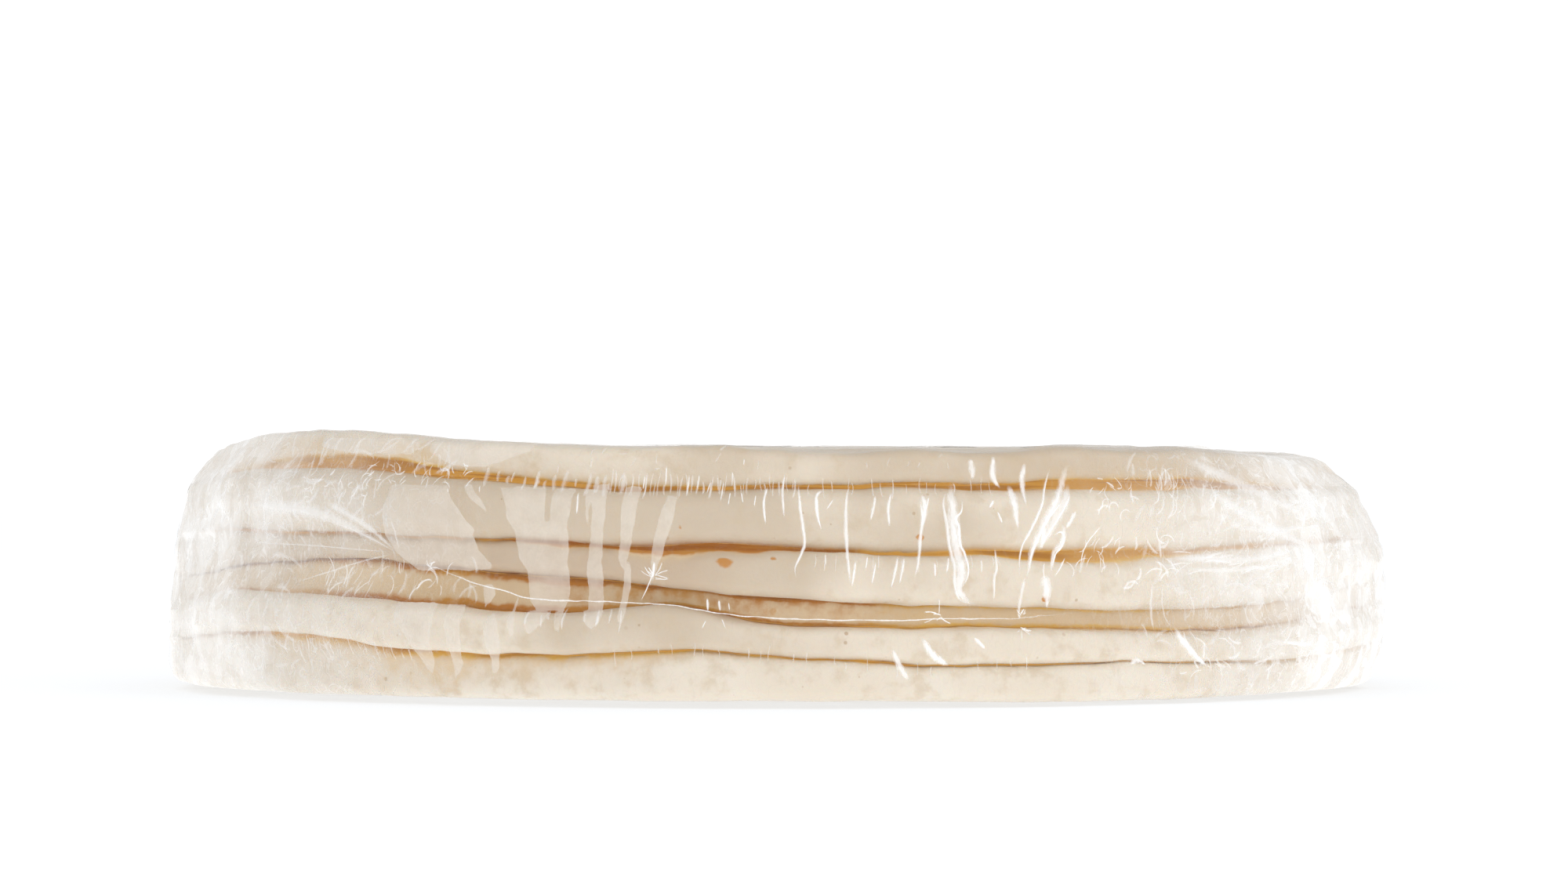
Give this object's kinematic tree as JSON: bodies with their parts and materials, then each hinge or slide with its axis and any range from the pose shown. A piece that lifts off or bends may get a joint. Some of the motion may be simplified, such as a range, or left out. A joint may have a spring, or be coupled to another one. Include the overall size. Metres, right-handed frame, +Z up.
{
  "type": "film-wrapped pack of pizza crusts",
  "caption": "Flat stack of round, pale pizza crusts with soft uneven rims, wrapped tight in clear stretch film. Stands on its base.",
  "frame": {"origin": "on the surface that the pack stands on, under the middle of its outline", "axes": "+Z up through the stack, +X to the right of the pictured front, -Y towards the viewer of that front"},
  "size_m": [0.2984, 0.2974, 0.0635],
  "materials": {
    "dough": "matte, soft, floury, pale cream with fine bran specks",
    "shaded_dough": "matte, soft, the same dough set back in the stack's shade",
    "stretch_film": "clear, thin, glossy, finely creased"
  },
  "bodies": {
    "root": {"crust_1_bottom": "dough", "crust_2": "dough", "crust_3": "shaded_dough", "crust_4": "dough", "crust_5": "dough", "crust_6_top": "dough", "film_wrap": "stretch_film"}
  },
  "joints": []
}
